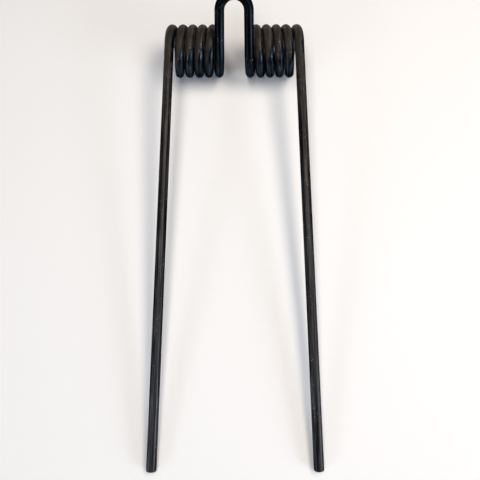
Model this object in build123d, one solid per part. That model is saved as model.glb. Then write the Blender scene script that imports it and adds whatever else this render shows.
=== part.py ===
from build123d import *
import math
import os

# Cultivator spring tine: one steel wire, wound into two coils that share an axis. Between the coils the
# wire forms the loop that the tine is bolted down by, and outside them it runs on into two straight legs.
# All sizes are in millimetres and degrees. The origin is the middle of the coils' common axis, which is X.
# The legs point along -Y and Z is up. The tine lies as it comes to rest on a floor, on the undersides of
# its coils and the tips of its legs.

# Wire
WIRE_DIAMETER = 9.5
END_ROUNDING = 1.2

# Coils, with their whole turns counted from a side of the loop to the leg, and the clear gap between turns,
# which is wider at the first and the last, where the loop and the leg pull the coil open
COIL_INSIDE_DIAMETER = 33.5
COIL_TURNS = 5
TURN_GAP = 0.6
END_TURN_GAP = 1.8

# Each turn is a chain of arcs, none longer than LONGEST_ARC, and the wire swings into its coil over one arc
# at the loop and out of it over one at the leg
LONGEST_ARC = 90.0
LOOP_END_ARC = 60.0
LEG_END_ARC = 30.0

# Loop, with its clear width at the coils, the lean of each side to the middle and its rise off the floor
LOOP_CLEAR_WIDTH = 20.6
LOOP_SIDE_LENGTH = 42.3
LOOP_LEAN = 1.0
LOOP_RISE = 45.0

# Legs, with their length from coil to tip and the lean of each away from the middle
LEG_LENGTH = 415.5
LEG_SPLAY = 1.6

# Worked out from the sizes above
WIRE_RADIUS = WIRE_DIAMETER / 2
COIL_RADIUS = COIL_INSIDE_DIAMETER / 2 + WIRE_RADIUS
COIL_OUTSIDE_RADIUS = COIL_RADIUS + WIRE_RADIUS


def leg_slope():
    """Degrees that a leg falls, so that its rounded tip touches the floor that the coils lie on."""
    across = COIL_RADIUS - WIRE_RADIUS + END_ROUNDING
    along = (LEG_LENGTH - END_ROUNDING) * math.cos(math.radians(LEG_SPLAY))
    reach = math.hypot(across, along)
    return math.degrees(math.acos((END_ROUNDING - COIL_OUTSIDE_RADIUS) / reach) - math.atan2(along, across))


def heading(elevation, lead):
    """Way the wire runs at an elevation round the coil, turned outwards from the coil's plane by lead.

    Elevation is counted from the side that faces the leg tips, and falls as the wire winds on.
    """
    around, outwards = math.radians(elevation), math.radians(lead)
    flat = math.cos(outwards)
    return Vector(math.sin(outwards), -flat * math.sin(around), -flat * math.cos(around))


def winding(first, last):
    """Elevations of the joints between a coil's arcs: a short arc at each end and equal ones between."""
    start, stop = first - LOOP_END_ARC, last + LEG_END_ARC
    count = math.ceil((start - stop) / LONGEST_ARC)
    return [first] + [start + (stop - start) * step / count for step in range(count + 1)] + [last]


def coil_lead(elevations, joint):
    """Lead at a joint between two of the coil's equal arcs that gives the turn there its pitch."""
    to_end = min(elevations[0] - elevations[joint], elevations[joint] - elevations[-1])
    pitch = WIRE_DIAMETER + (END_TURN_GAP if to_end < 360 else TURN_GAP)
    half = math.radians(elevations[1] - elevations[2]) / 2
    return math.degrees(math.atan(pitch / (2 * math.pi * COIL_RADIUS) * half / math.tan(half)))


def loop_lines(foot, down):
    """Half of the loop, from the middle of its arch to the foot where its side meets the coil."""
    shoulder = foot - down * LOOP_SIDE_LENGTH
    lean = math.radians(LOOP_LEAN)
    arch_radius = shoulder.X / math.cos(lean)
    away = Vector(0, math.cos(math.radians(LOOP_RISE)), math.sin(math.radians(LOOP_RISE)))
    crown = Vector(0, shoulder.Y, shoulder.Z) + away * arch_radius * (1 - math.sin(lean))
    return [TangentArc(crown, shoulder, tangent=(1, 0, 0)), Line(shoulder, foot)]


def coil_lines(foot, elevations):
    """The coil as arcs that each start along the last one's end, and its last heading.

    An arc between two joints runs along the sum of their headings, so each step is a share of that sum.
    """
    between = [coil_lead(elevations, joint) for joint in range(1, len(elevations) - 1)]
    leads = [LOOP_LEAN] + between + [LEG_SPLAY]
    headings = [heading(elevation, lead) for elevation, lead in zip(elevations, leads)]
    arcs, point = [], foot
    for joint in range(len(headings) - 1):
        chord = 2 * COIL_RADIUS * math.sin(math.radians(elevations[joint] - elevations[joint + 1]) / 2)
        step = headings[joint] + headings[joint + 1]
        following = point + step * (chord / math.hypot(step.Y, step.Z))
        arcs.append(TangentArc(point, following, tangent=headings[joint]))
        point = following
    return arcs, point, headings[-1]


def half_centre_line():
    """The wire's centre line on the side of positive X, from the middle of the loop to the leg's tip."""
    first, last = 90 - LOOP_RISE, 90 - leg_slope() - 360 * COIL_TURNS
    around, half_spacing = math.radians(first), (LOOP_CLEAR_WIDTH + WIRE_DIAMETER) / 2
    foot = Vector(half_spacing, -COIL_RADIUS * math.cos(around), COIL_RADIUS * math.sin(around))
    arcs, root, along = coil_lines(foot, winding(first, last))
    tip = root + along * LEG_LENGTH
    return loop_lines(foot, heading(first, LOOP_LEAN)) + arcs + [Line(root, tip)], tip


def half_tine():
    """The wire on the side of positive X, with its cut end rounded, and its centre line."""
    lines, tip = half_centre_line()
    path = Wire([line.edge() for line in lines])
    wire = sweep(Plane(origin=lines[0] @ 0, z_dir=(1, 0, 0)) * Circle(WIRE_RADIUS), path=path)
    end = wire.faces().sort_by_distance(tip)[0]
    return fillet(end.edges(), END_ROUNDING), path


def spring_tine():
    """The whole tine: one wire, the same on both sides of its middle."""
    half, path = half_tine()
    tine = half + mirror(half, about=Plane.YZ)
    print(f"wire length {2 * path.length:.0f} mm, leg slope {leg_slope():.2f} degrees")
    print(f"volume over section times length {tine.volume / (2 * path.length * math.pi * WIRE_RADIUS**2):.4f}")
    tine.label = "spring_tine"
    return tine


os.makedirs("parts", exist_ok=True)
export_step(spring_tine(), "parts/spring_tine.step")
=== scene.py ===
import math

import bpy
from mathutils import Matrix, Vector


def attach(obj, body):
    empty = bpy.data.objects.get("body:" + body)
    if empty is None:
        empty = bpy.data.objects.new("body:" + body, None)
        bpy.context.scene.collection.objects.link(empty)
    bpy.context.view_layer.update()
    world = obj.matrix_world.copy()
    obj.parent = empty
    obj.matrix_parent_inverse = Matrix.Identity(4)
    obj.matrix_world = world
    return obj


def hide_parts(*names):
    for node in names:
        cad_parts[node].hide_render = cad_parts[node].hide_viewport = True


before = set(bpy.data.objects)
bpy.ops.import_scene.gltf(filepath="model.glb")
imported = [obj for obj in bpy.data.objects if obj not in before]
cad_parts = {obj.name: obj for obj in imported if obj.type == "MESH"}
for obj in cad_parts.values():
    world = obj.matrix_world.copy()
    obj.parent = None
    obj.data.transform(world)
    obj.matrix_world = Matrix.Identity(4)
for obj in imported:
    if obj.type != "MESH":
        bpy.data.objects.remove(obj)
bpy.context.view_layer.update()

# Cultivator spring tine, lying on a pale floor. The wire is modelled as it is bent: a ring the size of its
# section is drawn out and spun round each bend, from the middle of the loop to the tip of one leg, and
# then mirrored. Sizes are in metres and degrees, in the frame of the CAD model, whose X axis is the axis
# of the coils. The legs point along -Y.

# Wire
WIRE_RADIUS = 0.00475
END_ROUNDING = 0.0012
END_STEPS = 5
RING_POINTS = 32
RING_TURN = 5.0
MERGE_DISTANCE = 1e-6
SMOOTH_ANGLE = 40.0

# Coils, as chains of short arcs. The loop and the leg pull the first and the last turn open
COIL_RADIUS = 0.0215
COIL_TURNS = 5
TURN_PITCH = 0.0101
END_TURN_PITCH = 0.0113
LONGEST_ARC = 90.0
LOOP_END_ARC = 60.0
LEG_END_ARC = 30.0

# Loop that the bolt goes through
LOOP_HALF_SPACING = 0.01505
LOOP_SIDE_LENGTH = 0.0423
LOOP_LEAN = 1.0
LOOP_RISE = 45.0

# Legs
LEG_LENGTH = 0.4155
LEG_SPLAY = 1.6

# Lengths along the wire, from the middle of the loop, and over which one finish fades into the next
LOOP_END = 0.066
LEG_START = 0.7275
COIL_FADE = 0.02
LEG_FADE = 0.1

# Each pair of limits below says where a mask starts and where it is full

# Limits along the wire
ON_LOOP = (LOOP_END + COIL_FADE, LOOP_END)
PAST_LOOP = (LOOP_END, LOOP_END + COIL_FADE)
BEFORE_LEG = (LEG_START, LEG_START - COIL_FADE)
UP_TO_LEG = (LEG_START + LEG_FADE, LEG_START)
ON_LEG = (LEG_START, LEG_START + LEG_FADE)
ON_WORN_AND_SHEEN_LEG = (LEG_START + 0.04, LEG_START + 0.2)
ON_TIP = (LEG_START + 0.28, LEG_START + 0.36)

# Patches of each pattern. DRAWN_SCALE stretches the grain and the scratches along the wire
GRAIN_SIZE = 0.0018
SCRATCH_SIZE = 0.0011
SPECKLE_SIZE = 0.0009
CHIPPED_SIZE = 0.012
MOTTLE_SIZE = 0.004
DUST_AND_LIGHT_SIZE = 0.009
RUST_SIZE = 0.006
DRAWN_SCALE = 0.03

# Brown dust with painted warm light, on faces that look up and back. Patches shift its edge, and so does
# the side of the turn
DUST_AND_LIGHT_WAY = (0, 0.4, 0.92)
DUST_AND_LIGHT_WANDER = 1.5
DUST_AND_LIGHT_LEFT_LEAN = -0.4
DUST_AND_LIGHT_ON_COILS = (0.95, 1.35)
DUST_AND_LIGHT_ON_LEGS = (1.2, 1.8)

# Rust, by how far a face looks sideways and upwards, how far back it lies, and in patches
RUST_SIDEWAYS = (0.6, 0.95)
RUST_UPWARDS = (0.0, 0.3)
RUST_BACK = (-0.02, -0.006)
RUST_PATCHES = (0.3, 0.6)

# Wear with painted sheen, and how far grain, scratches and dust with its painted light lighten or darken
# the colour
SHEEN_ON_TOP = (0.55, 0.95)
SCRATCHES = (0.6, 0.72)
CHIPS = (0.67, 0.72)
CHIPPED_PATCHES = (0.52, 0.6)
STREAK_GRAIN = (0.4, 0.62)
STREAK_SHADE = (0.45, 1.7)
SCRATCH_SHADE = 2.5
DUST_AND_LIGHT_STREAK_SHADE = 1.15
DUST_AND_LIGHT_OVER_STREAKS = 0.5

# Colours of the finish. A pair is mottled from one to the other
BLUE_BLACK = ((0.0116, 0.0165, 0.0245, 1), (0.0235, 0.0328, 0.0475, 1))
LEG_BLACK = (0.0165, 0.0168, 0.0185, 1)
# Paler grey on top of the legs is painted sheen; round the tips it is wear with painted sheen
WORN_AND_SHEEN_GREY = (0.0325, 0.033, 0.0372, 1)
# Painted shade: the loop is darker than the rest of the wire
LOOP_SHADED_BLACK = (0.0068, 0.0086, 0.0124, 1)
# Brown dust with warm light painted over it
BROWN_DUST_AND_LIGHT = ((0.020, 0.0172, 0.0150, 1), (0.044, 0.0375, 0.0325, 1))
# The dust colour where the painted sheen and wear lie
WORN_DUST_AND_SHEEN = (0.027, 0.0258, 0.0265, 1)
RUST_BROWN = (0.055, 0.028, 0.014, 1)
CHIP_GREY = (0.5, 0.49, 0.48, 1)

# Gloss, with what the edge, the grain and the loop add to the roughness, and fine relief
STEEL_ROUGHNESS = 0.43
DUST_AND_LIGHT_ROUGHNESS = 0.51
EDGE_FACING = (0.3, 0.8)
EDGE_ROUGHNESS = 0.2
GRAIN_ROUGHNESS = -0.3
LOOP_ROUGHNESS = 0.1
DUST_AND_LIGHT_METALLIC = 0.1
SPECULAR_LEVEL = 0.3
SPECULAR_TINT = (0.3, 0.3, 0.3, 1)
SPECKLE_BUMP = 0.4
BUMP_STRENGTH = 0.25
BUMP_HEIGHT = 0.0001

# Studio
FLOOR_HEIGHT = -COIL_RADIUS - WIRE_RADIUS
FLOOR_RADIUS = 1.6
FLOOR_POINTS = 96
RIM_RADIUS = 1.4
RIM_STEPS = 12
FLOOR_SEEN = (1.0, 1.0, 1.0, 1)
FLOOR_BOUNCE = (0.5, 0.5, 0.5, 1)
MIDDLE = Vector((0, -0.19, 0))
TIPS = Vector((0, -0.41, 0))
COILS = Vector((0, 0, 0))
WARM = (1.0, 0.89, 0.79)
PALE = (1.0, 0.96, 0.92)
COOL = (0.85, 0.92, 1.0)
BLUE = (0.7, 0.82, 1.0)
OPEN_SPREAD = 179.0
GRID_SPREAD = 90.0
ROOM_COLOUR = (0.9, 0.95, 1.0, 1)
ROOM_STRENGTH = 0.12

# Camera, with its lens and sensor in millimetres
LENS = 36
SENSOR_WIDTH = 36
CAMERA_PLACE = (0.0048, -0.298, 0.454)
CAMERA_ELEVATION = 78.16
CAMERA_TURN = -0.17


# Shape of the wire

def leg_slope():
    """Degrees that a leg falls, so that its rounded tip touches the floor that the coils lie on."""
    across = COIL_RADIUS - WIRE_RADIUS + END_ROUNDING
    along = (LEG_LENGTH - END_ROUNDING) * math.cos(math.radians(LEG_SPLAY))
    reach = math.hypot(across, along)
    drop = END_ROUNDING - COIL_RADIUS - WIRE_RADIUS
    return math.degrees(math.acos(drop / reach) - math.atan2(along, across))


def heading(elevation, lead):
    """Way the wire runs at an elevation round the coil, turned outwards from the coil's plane by lead."""
    around, outwards = math.radians(elevation), math.radians(lead)
    flat = math.cos(outwards)
    return Vector((math.sin(outwards), -flat * math.sin(around), -flat * math.cos(around)))


def winding(first, last):
    """Elevations of the joints between a coil's arcs: a short arc at each end and equal ones between."""
    start, stop = first - LOOP_END_ARC, last + LEG_END_ARC
    count = math.ceil((start - stop) / LONGEST_ARC)
    return [first] + [start + (stop - start) * step / count for step in range(count + 1)] + [last]


def coil_lead(turns, joint):
    """Lead of the wire at a joint between two of the coil's equal arcs, which gives the turn its pitch."""
    to_end = min(turns[0] - turns[joint], turns[joint] - turns[-1])
    pitch = END_TURN_PITCH if to_end < 360 else TURN_PITCH
    half = math.radians(turns[1] - turns[2]) / 2
    return math.degrees(math.atan(pitch / (2 * math.pi * COIL_RADIUS) * half / math.tan(half)))


def note_rings(rings, length, steps):
    """Keeps how far along the wire each new ring lies."""
    start = rings[-1]
    rings.extend(start + length * (step + 1) / steps for step in range(steps))


def spin_bend(start, way, end, rings):
    """Spins the open ring round an arc that leaves start in the given way and reaches end."""
    chord = end - start
    half = way.angle(chord)
    axis = way.cross(chord).normalized()
    radius = chord.length / (2 * math.sin(half))
    steps = max(1, round(math.degrees(2 * half) / RING_TURN))
    # The operator counts its angle the other way round
    bpy.ops.mesh.spin(steps=steps, angle=-2 * half, center=start + axis.cross(way) * radius, axis=axis)
    note_rings(rings, 2 * half * radius, steps)


def draw_out(move, rings):
    """Extends the wire straight from its open ring."""
    bpy.ops.mesh.extrude_edges_move(TRANSFORM_OT_translate={"value": move})
    note_rings(rings, move.length, 1)


def round_off(centre, way, rings):
    """Rounds the edge of the cut end and closes it."""
    for step in range(END_STEPS):
        before, after = (math.radians(90 * share / END_STEPS) for share in (step, step + 1))
        forward = END_ROUNDING * (math.sin(after) - math.sin(before))
        draw_out(way * forward, rings)
        centre = centre + way * forward
        smaller, larger = (WIRE_RADIUS - END_ROUNDING * (1 - math.cos(turn)) for turn in (after, before))
        scale = smaller / larger
        bpy.ops.transform.resize(value=(scale, scale, scale), center_override=centre)
    bpy.ops.mesh.edge_face_add()


def bend_half():
    """Bends half of the wire in edit mode and returns how far along it each ring of points lies."""
    first, last = 90 - LOOP_RISE, 90 - leg_slope() - 360 * COIL_TURNS
    around = math.radians(first)
    foot = Vector((LOOP_HALF_SPACING, -COIL_RADIUS * math.cos(around), COIL_RADIUS * math.sin(around)))
    down = heading(first, LOOP_LEAN)
    shoulder = foot - down * LOOP_SIDE_LENGTH
    lean = math.radians(LOOP_LEAN)
    arch_radius = shoulder.x / math.cos(lean)
    away = Vector((0, math.cos(math.radians(LOOP_RISE)), math.sin(math.radians(LOOP_RISE))))
    crown = Vector((0, shoulder.y, shoulder.z)) + away * arch_radius * (1 - math.sin(lean))

    bpy.ops.mesh.primitive_circle_add(vertices=RING_POINTS, radius=WIRE_RADIUS, location=crown,
                                      rotation=(0, math.radians(90), 0))
    bpy.ops.object.transform_apply(location=True, rotation=True, scale=True)
    bpy.ops.object.mode_set(mode="EDIT")
    bpy.ops.mesh.select_all(action="SELECT")
    rings = [0.0]
    spin_bend(crown, Vector((1, 0, 0)), shoulder, rings)
    draw_out(foot - shoulder, rings)

    turns = winding(first, last)
    leads = [LOOP_LEAN] + [coil_lead(turns, joint) for joint in range(1, len(turns) - 1)] + [LEG_SPLAY]
    ways = [heading(turn, lead) for turn, lead in zip(turns, leads)]
    point = foot
    for joint in range(len(ways) - 1):
        chord = 2 * COIL_RADIUS * math.sin(math.radians(turns[joint] - turns[joint + 1]) / 2)
        step = ways[joint] + ways[joint + 1]
        following = point + step * (chord / math.hypot(step.y, step.z))
        spin_bend(point, ways[joint], following, rings)
        point = following
    leg = ways[-1] * (LEG_LENGTH - END_ROUNDING)
    draw_out(leg, rings)
    round_off(point + leg, ways[-1], rings)
    bpy.ops.object.mode_set(mode="OBJECT")
    return rings


def mark_rod(wire, rings):
    """Gives each point its place on the wire as a straight rod, for grain that follows the bends."""
    rod = wire.data.attributes.new("rod", "FLOAT_VECTOR", "POINT")
    for place in range(len(wire.data.vertices)):
        ring, spot = divmod(place, RING_POINTS)
        turn = 2 * math.pi * spot / RING_POINTS
        rod.data[place].vector = (WIRE_RADIUS * math.cos(turn), WIRE_RADIUS * math.sin(turn), rings[ring])


def spring_wire():
    """The whole wire: the bent half, mirrored and joined at the middle of the loop."""
    bpy.ops.object.select_all(action="DESELECT")
    rings = bend_half()
    wire = bpy.context.object
    wire.name = "spring_wire"
    mark_rod(wire, rings)
    mirror = wire.modifiers.new("other side", "MIRROR")
    mirror.merge_threshold = MERGE_DISTANCE
    bpy.ops.object.modifier_apply(modifier=mirror.name)
    rod = wire.data.attributes["rod"]
    for vertex, mark in zip(wire.data.vertices, rod.data):
        if vertex.co.x < 0:
            mark.vector.z *= -1
    bpy.ops.object.mode_set(mode="EDIT")
    bpy.ops.mesh.select_all(action="SELECT")
    bpy.ops.mesh.remove_doubles(threshold=MERGE_DISTANCE)
    bpy.ops.mesh.normals_make_consistent(inside=False)
    bpy.ops.object.mode_set(mode="OBJECT")
    bpy.ops.object.shade_smooth_by_angle(angle=math.radians(SMOOTH_ANGLE))
    return wire


# Nodes that materials are made of

def add(tree, kind, settings=None, **inputs):
    """Adds a node with its settings and inputs.

    An input is named, or numbered as in i0, and its value is a number, a colour or another node's output.
    """
    node = tree.nodes.new(kind)
    for name, value in (settings or {}).items():
        setattr(node, name, value)
    for name, value in inputs.items():
        numbered = name[1:].isdigit()
        socket = node.inputs[int(name[1:])] if numbered else node.inputs[name.replace("_", " ")]
        if isinstance(value, bpy.types.NodeSocket):
            tree.links.new(value, socket)
        else:
            socket.default_value = value
    return node


def math_node(tree, operation, *numbers):
    """A number worked out from others."""
    inputs = {f"i{place}": number for place, number in enumerate(numbers)}
    return add(tree, "ShaderNodeMath", {"operation": operation}, **inputs).outputs[0]


def times(tree, first, second):
    """The product of two masks."""
    return math_node(tree, "MULTIPLY", first, second)


def greater(tree, first, second):
    """The greater of two masks at each point."""
    return math_node(tree, "MAXIMUM", first, second)


def plus(tree, base, extra, share):
    """A number with a share of another added to it."""
    return math_node(tree, "MULTIPLY_ADD", extra, share, base)


def part(tree, vector, axis):
    """What a vector measures along one axis."""
    return add(tree, "ShaderNodeSeparateXYZ", Vector=vector).outputs[axis]


def ramp(tree, value, low, high):
    """A soft step from 0 at low to 1 at high."""
    return add(tree, "ShaderNodeMapRange", {"interpolation_type": "SMOOTHSTEP"}, Value=value,
               From_Min=low, From_Max=high).outputs["Result"]


def mix(tree, share, first, second):
    """A number between first and second."""
    return add(tree, "ShaderNodeMix", {"data_type": "FLOAT"}, i0=share, i2=first, i3=second).outputs[0]


def blend(tree, share, first, second):
    """A colour between first and second."""
    return add(tree, "ShaderNodeMix", {"data_type": "RGBA"}, i0=share, i6=first, i7=second).outputs[2]


def noise(tree, place, size, detail=3.0):
    """Cloudy pattern whose patches are about the given size in metres."""
    return add(tree, "ShaderNodeTexNoise", Vector=place, Scale=1 / size, Detail=detail).outputs[0]


def empty_material(name):
    """A new material without nodes, and its node tree."""
    material = bpy.data.materials.new(name)
    material.use_nodes = True
    material.node_tree.nodes.clear()
    return material, material.node_tree


# Blackened steel

def dust_and_top_light(tree, along, loop, place, normal, grain):
    """Where brown dust with painted warm light lies: on what faces up and back, uneven on the coils and
    narrower on the legs.

    On the coils it reaches lower on the left of each turn, along a painted edge of the light, and none lies
    on the loop.
    """
    coil = ramp(tree, along, *UP_TO_LEG)
    patches = mix(tree, coil, grain, noise(tree, place, DUST_AND_LIGHT_SIZE, detail=2.0))
    side = times(tree, part(tree, normal, "X"), coil)
    # Painted warm light along with the dust: faces that look up and back turn brown
    facing = add(tree, "ShaderNodeVectorMath", {"operation": "DOT_PRODUCT"}, i0=normal, i1=DUST_AND_LIGHT_WAY)
    facing = plus(tree, facing.outputs["Value"], patches, DUST_AND_LIGHT_WANDER)
    facing = plus(tree, facing, side, DUST_AND_LIGHT_LEFT_LEAN)
    lying = mix(tree, coil, ramp(tree, facing, *DUST_AND_LIGHT_ON_LEGS), ramp(tree, facing, *DUST_AND_LIGHT_ON_COILS))
    return times(tree, lying, ramp(tree, loop, 1.0, 0.0))


def rust(tree, along, place, normal):
    """Where rust shows: on the sides of the turns, deep in the grooves on top of the coils."""
    sideways = ramp(tree, math_node(tree, "ABSOLUTE", part(tree, normal, "X")), *RUST_SIDEWAYS)
    groove = times(tree, sideways, ramp(tree, part(tree, normal, "Z"), *RUST_UPWARDS))
    groove = times(tree, groove, ramp(tree, part(tree, place, "Y"), *RUST_BACK))
    coil = times(tree, ramp(tree, along, *PAST_LOOP), ramp(tree, along, *BEFORE_LEG))
    patches = ramp(tree, noise(tree, place, RUST_SIZE), *RUST_PATCHES)
    return times(tree, times(tree, groove, coil), patches)


def wire_colour(tree, along, loop, place, normal, dusty_and_lit):
    """Steel under dust and painted warm light: painted shade on the loop, painted sheen on leg tops, wear
    and sheen at tips.
    """
    mottle = noise(tree, place, MOTTLE_SIZE, detail=4.0)
    # Painted sheen: the tops of the legs are made paler, and all round the tips, together with wear
    top = ramp(tree, part(tree, normal, "Z"), *SHEEN_ON_TOP)
    worn_and_sheen = mix(tree, ramp(tree, along, *ON_TIP), top, 1.0)
    worn_and_sheen = times(tree, ramp(tree, along, *ON_WORN_AND_SHEEN_LEG), worn_and_sheen)
    bare = blend(tree, mottle, *BLUE_BLACK)
    bare = blend(tree, ramp(tree, along, *ON_LEG), bare, LEG_BLACK)
    bare = blend(tree, worn_and_sheen, bare, WORN_AND_SHEEN_GREY)
    # Painted shade: the loop is made darker
    bare = blend(tree, loop, bare, LOOP_SHADED_BLACK)
    brown = blend(tree, mottle, *BROWN_DUST_AND_LIGHT)
    brown = blend(tree, worn_and_sheen, brown, WORN_DUST_AND_SHEEN)
    return blend(tree, dusty_and_lit, bare, brown)


def streaked(tree, colour, drawn, grain, dust_light_or_rust):
    """The colour with the streaks and scratches of drawn wire, fainter under dust with its painted light
    and under rust.
    """
    (low, high), (darkest, lightest) = STREAK_GRAIN, STREAK_SHADE
    streaks = add(tree, "ShaderNodeMapRange", Value=grain, From_Min=low, From_Max=high, To_Min=darkest,
                  To_Max=lightest).outputs["Result"]
    scratches = ramp(tree, noise(tree, drawn, SCRATCH_SIZE, detail=1.0), *SCRATCHES)
    shade = plus(tree, streaks, scratches, SCRATCH_SHADE)
    shade = mix(tree, times(tree, dust_light_or_rust, DUST_AND_LIGHT_OVER_STREAKS), shade, DUST_AND_LIGHT_STREAK_SHADE)
    return add(tree, "ShaderNodeVectorMath", {"operation": "SCALE"}, i0=colour, Scale=shade).outputs[0]


def chipped(tree, colour, rod, speckle):
    """The colour with small pale chips, in patches."""
    patches = ramp(tree, noise(tree, rod, CHIPPED_SIZE), *CHIPPED_PATCHES)
    chips = times(tree, ramp(tree, speckle, *CHIPS), patches)
    return blend(tree, chips, colour, CHIP_GREY)


def roughness(tree, loop, grain, dust_light_or_rust):
    """How rough the wire is: uneven along the grain, rougher under dust with its painted light, at its edge
    and on the loop.
    """
    edge = add(tree, "ShaderNodeLayerWeight", Blend=0.5).outputs["Facing"]
    rough = mix(tree, dust_light_or_rust, STEEL_ROUGHNESS, DUST_AND_LIGHT_ROUGHNESS)
    rough = plus(tree, rough, ramp(tree, edge, *EDGE_FACING), EDGE_ROUGHNESS)
    rough = plus(tree, rough, grain, GRAIN_ROUGHNESS)
    return plus(tree, rough, loop, LOOP_ROUGHNESS)


def blackened_steel():
    """Oil-blackened spring steel with drawn grain, dust with painted warm light, painted shade and sheen,
    rust in the grooves and pale chips.
    """
    material, tree = empty_material("oil_black_steel")
    space = add(tree, "ShaderNodeTexCoord").outputs
    place, normal = space["Object"], space["Normal"]
    rod = add(tree, "ShaderNodeAttribute", {"attribute_name": "rod"}).outputs["Vector"]
    drawn = add(tree, "ShaderNodeMapping", Vector=rod, Scale=(1, 1, DRAWN_SCALE)).outputs[0]
    along = math_node(tree, "ABSOLUTE", part(tree, rod, "Z"))
    loop = ramp(tree, along, *ON_LOOP)
    grain = noise(tree, drawn, GRAIN_SIZE)
    speckle = noise(tree, rod, SPECKLE_SIZE, detail=2.0)

    # Dust with painted warm light on what faces up and back
    dusty_and_lit = dust_and_top_light(tree, along, loop, place, normal, grain)
    rusty = rust(tree, along, place, normal)
    dust_light_or_rust = greater(tree, dusty_and_lit, rusty)
    colour = wire_colour(tree, along, loop, place, normal, dusty_and_lit)
    colour = blend(tree, rusty, colour, RUST_BROWN)
    colour = streaked(tree, colour, drawn, grain, dust_light_or_rust)
    colour = chipped(tree, colour, rod, speckle)

    bump = add(tree, "ShaderNodeBump", Strength=BUMP_STRENGTH, Distance=BUMP_HEIGHT,
               Height=mix(tree, SPECKLE_BUMP, grain, speckle))
    steel = add(tree, "ShaderNodeBsdfPrincipled", Base_Color=colour,
                Roughness=roughness(tree, loop, grain, dust_light_or_rust),
                Metallic=mix(tree, dust_light_or_rust, 1.0, DUST_AND_LIGHT_METALLIC), Normal=bump.outputs[0],
                Specular_IOR_Level=SPECULAR_LEVEL, Specular_Tint=SPECULAR_TINT)
    add(tree, "ShaderNodeOutputMaterial", Surface=steel.outputs[0])
    return material


# Floor, light and camera

def pale_paper():
    """Paper that is white where it is seen, also in reflections, and grey in the light it passes on."""
    material, tree = empty_material("pale_paper")
    light = add(tree, "ShaderNodeLightPath").outputs
    seen = greater(tree, light["Is Camera Ray"], light["Is Glossy Ray"])
    seen = greater(tree, seen, light["Is Transmission Ray"])
    colour = blend(tree, seen, FLOOR_BOUNCE, FLOOR_SEEN)
    paper = add(tree, "ShaderNodeBsdfDiffuse", Color=colour).outputs[0]
    add(tree, "ShaderNodeOutputMaterial", Surface=paper)
    return material


def pale_floor():
    """A wide round floor whose rim curves up into a backdrop."""
    bpy.ops.object.select_all(action="DESELECT")
    centre = Vector((0, MIDDLE.y, FLOOR_HEIGHT))
    bpy.ops.mesh.primitive_circle_add(vertices=FLOOR_POINTS, radius=FLOOR_RADIUS, fill_type="NGON",
                                      location=centre)
    bpy.ops.object.transform_apply(location=True, rotation=True, scale=True)
    floor = bpy.context.object
    floor.name = "floor"
    bpy.ops.object.mode_set(mode="EDIT")
    bpy.ops.mesh.select_all(action="SELECT")
    bpy.ops.mesh.region_to_loop()
    radius, height = FLOOR_RADIUS, 0.0
    for step in range(1, RIM_STEPS + 1):
        turn = math.radians(90 * step / RIM_STEPS)
        wider, higher = FLOOR_RADIUS + RIM_RADIUS * math.sin(turn), RIM_RADIUS * (1 - math.cos(turn))
        bpy.ops.mesh.extrude_edges_move(TRANSFORM_OT_translate={"value": (0, 0, higher - height)})
        scale = wider / radius
        bpy.ops.transform.resize(value=(scale, scale, 1), center_override=centre)
        radius, height = wider, higher
    bpy.ops.object.mode_set(mode="OBJECT")
    bpy.ops.object.shade_smooth()
    floor.data.materials.append(pale_paper())


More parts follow.
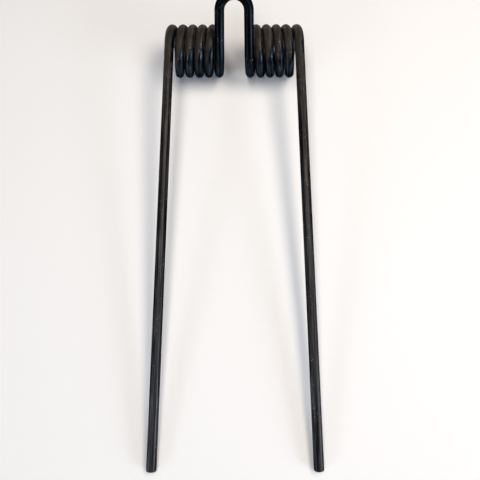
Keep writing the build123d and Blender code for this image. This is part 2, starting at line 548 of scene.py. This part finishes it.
def softbox(name, aim, colour, distance, tilt, bearing, size, share, spread=OPEN_SPREAD):
    """A soft lamp aimed at a point, at a tilt off the vertical and a bearing counted from +X towards +Y.

    Its share is how bright it makes the floor there. A lamp keeps its power when a grid narrows its spread,
    which makes the middle of its light brighter by the gain.
    """
    off, around = math.radians(tilt), math.radians(bearing)
    way = Vector((math.sin(off) * math.cos(around), math.sin(off) * math.sin(around), math.cos(off)))
    lamp = bpy.data.lights.new(name, "AREA")
    lamp.shape = "RECTANGLE"
    lamp.size, lamp.size_y = size
    half = math.radians(spread) / 2
    gain = math.tan(half) / (math.tan(half) - half)
    lamp.spread = 2 * half
    lamp.energy = share * (math.pi * distance) ** 2 / math.cos(off) / gain
    lamp.color = colour
    holder = bpy.data.objects.new(name, lamp)
    holder.location = aim + way * distance
    holder.rotation_euler = (-way).to_track_quat("-Z", "Y").to_euler()
    bpy.context.collection.objects.link(holder)


def studio():
    """Two large softboxes overhead, three low ones with grids, and a dim room.

    The high ones are pale at the left and warm at the right. The low ones stand in front: a blue one on
    each side, aimed at the tips, and a cool one at the right, aimed at the coils.
    """
    softbox("left strip", MIDDLE, PALE, distance=1.3, tilt=11, bearing=180, size=(1.2, 0.35),
            share=0.38)
    softbox("warm right", MIDDLE, WARM, distance=1.45, tilt=29, bearing=20, size=(0.95, 0.5),
            share=0.45)
    softbox("blue right", TIPS, BLUE, distance=1.4, tilt=66, bearing=332, size=(0.7, 0.28), share=0.095,
            spread=GRID_SPREAD)
    softbox("blue left", TIPS, BLUE, distance=1.4, tilt=66, bearing=208, size=(0.7, 0.28), share=0.1,
            spread=GRID_SPREAD)
    softbox("cool front", COILS, COOL, distance=1.5, tilt=75, bearing=330, size=(0.9, 0.6), share=0.095,
            spread=GRID_SPREAD)
    room = bpy.data.worlds.new("room")
    room.use_nodes = True
    background = room.node_tree.nodes["Background"]
    background.inputs["Color"].default_value = ROOM_COLOUR
    background.inputs["Strength"].default_value = ROOM_STRENGTH
    bpy.context.scene.world = room


def camera():
    """The photograph's view, from above the legs and a little off their middle."""
    lens = bpy.data.cameras.new("camera")
    lens.sensor_width = SENSOR_WIDTH
    lens.lens = LENS
    holder = bpy.data.objects.new("camera", lens)
    holder.location = CAMERA_PLACE
    holder.rotation_euler = (math.radians(90 - CAMERA_ELEVATION), 0, math.radians(CAMERA_TURN))
    bpy.context.collection.objects.link(holder)
    bpy.context.scene.camera = holder


wire = spring_wire()
wire.data.materials.append(blackened_steel())
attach(wire, "root")
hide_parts("spring_tine")

pale_floor()
studio()
camera()
bpy.context.scene.view_settings.view_transform = "Standard"
